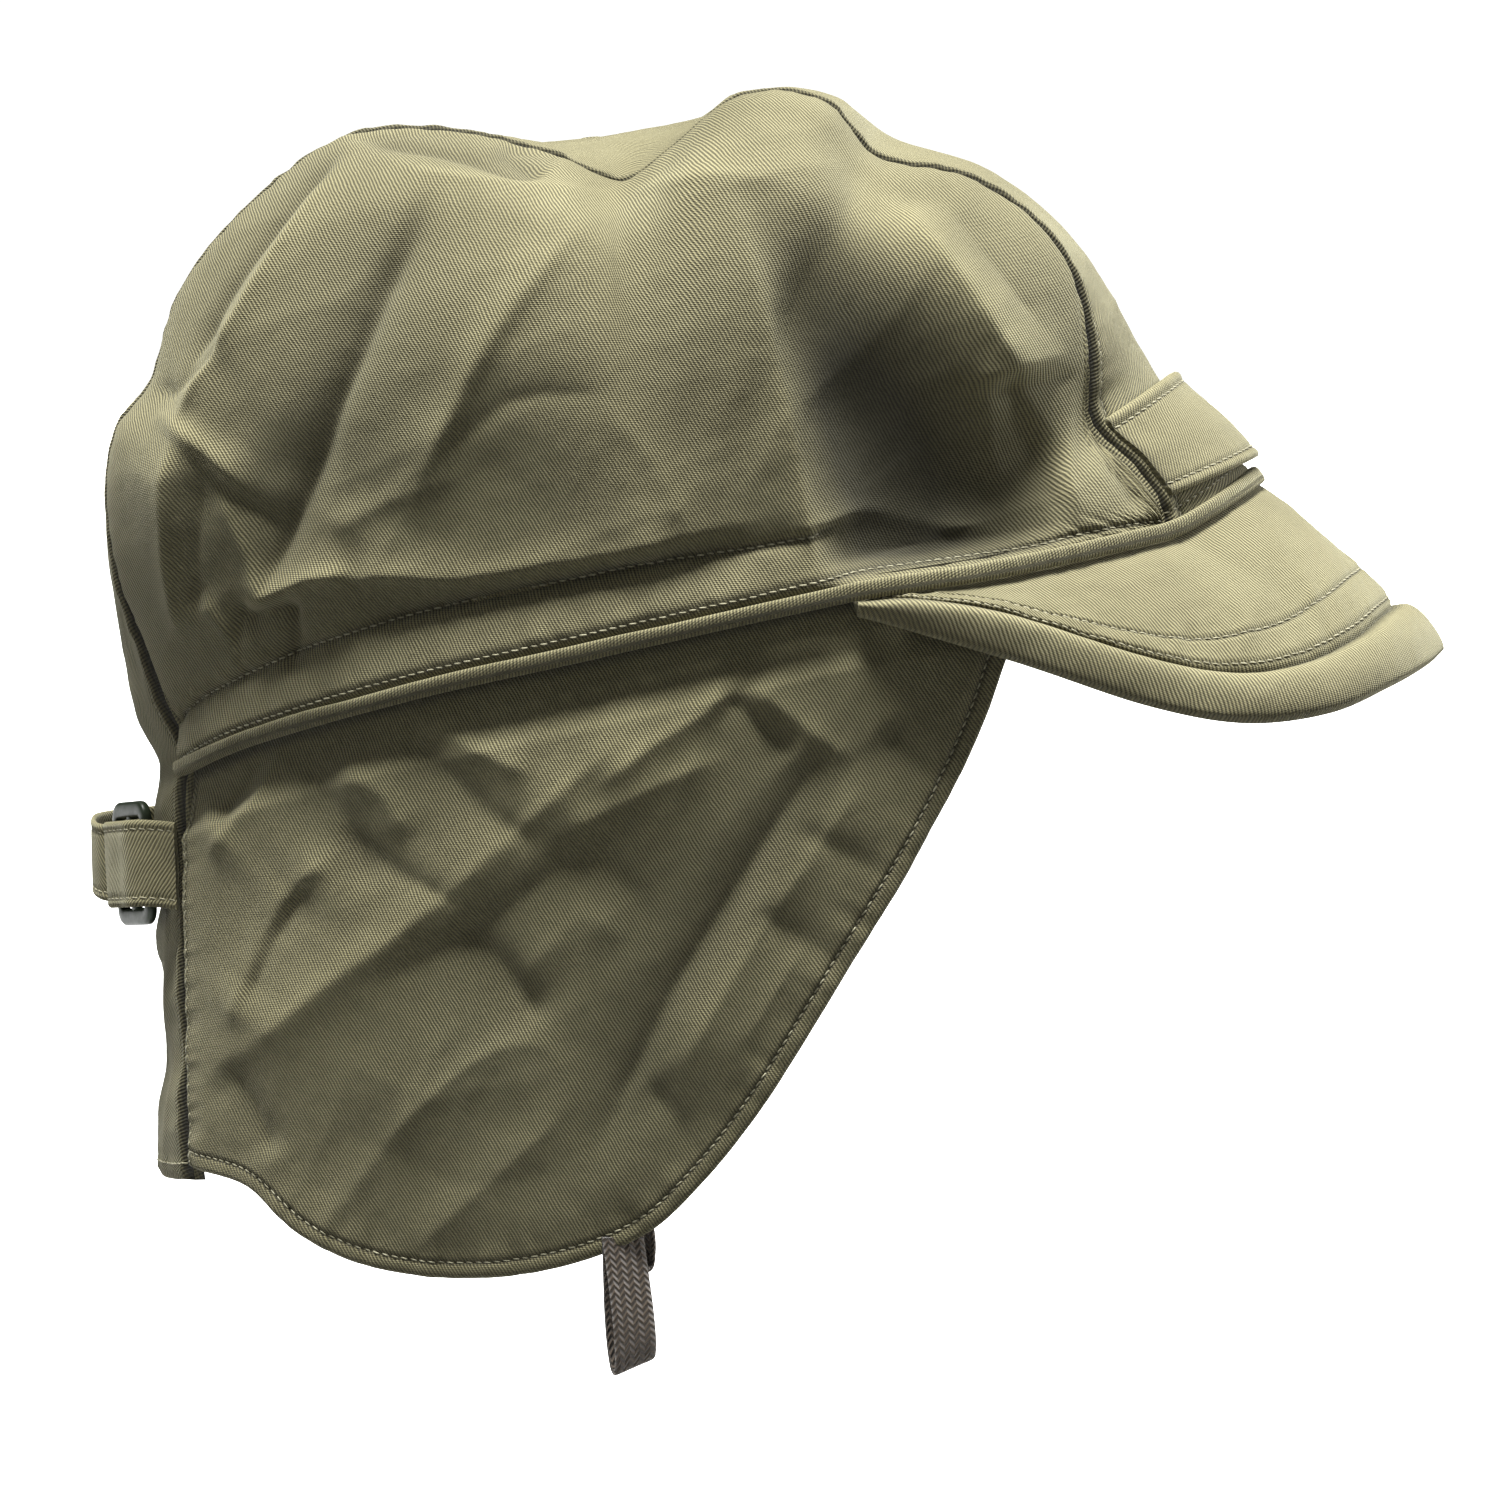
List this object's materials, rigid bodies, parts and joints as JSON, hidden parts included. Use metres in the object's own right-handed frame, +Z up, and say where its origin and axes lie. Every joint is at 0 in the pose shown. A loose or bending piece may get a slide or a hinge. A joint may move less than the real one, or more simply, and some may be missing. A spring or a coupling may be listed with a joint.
{
  "type": "earflap cap",
  "caption": "Soft twill cap with a folded crown, a soft peak, hanging earflaps, a brow loop and a buckled strap at the nape.",
  "frame": {"origin": "middle of the rim where the cap sits on the head", "axes": "+X forward over the peak, +Y to the wearer's left, +Z up"},
  "size_m": [0.2994, 0.1536, 0.2712],
  "materials": {
    "twill": "olive twill with a slight sheen",
    "strap_cloth": "coarse diagonal rib",
    "braid": "brown flat braid",
    "buckle_plastic": "moulded green plastic, half gloss"
  },
  "bodies": {
    "root": {"centre_panel": "twill", "crown_side_right": "twill", "crown_side_left": "twill", "flap_right": "twill", "flap_left": "twill", "rim_welt": "twill", "peak": "twill", "brow_tab": "twill", "strap_short": "strap_cloth", "strap_long": "strap_cloth", "buckle": "buckle_plastic", "tape_loop_right": "braid", "tape_loop_left": "braid"}
  },
  "joints": []
}
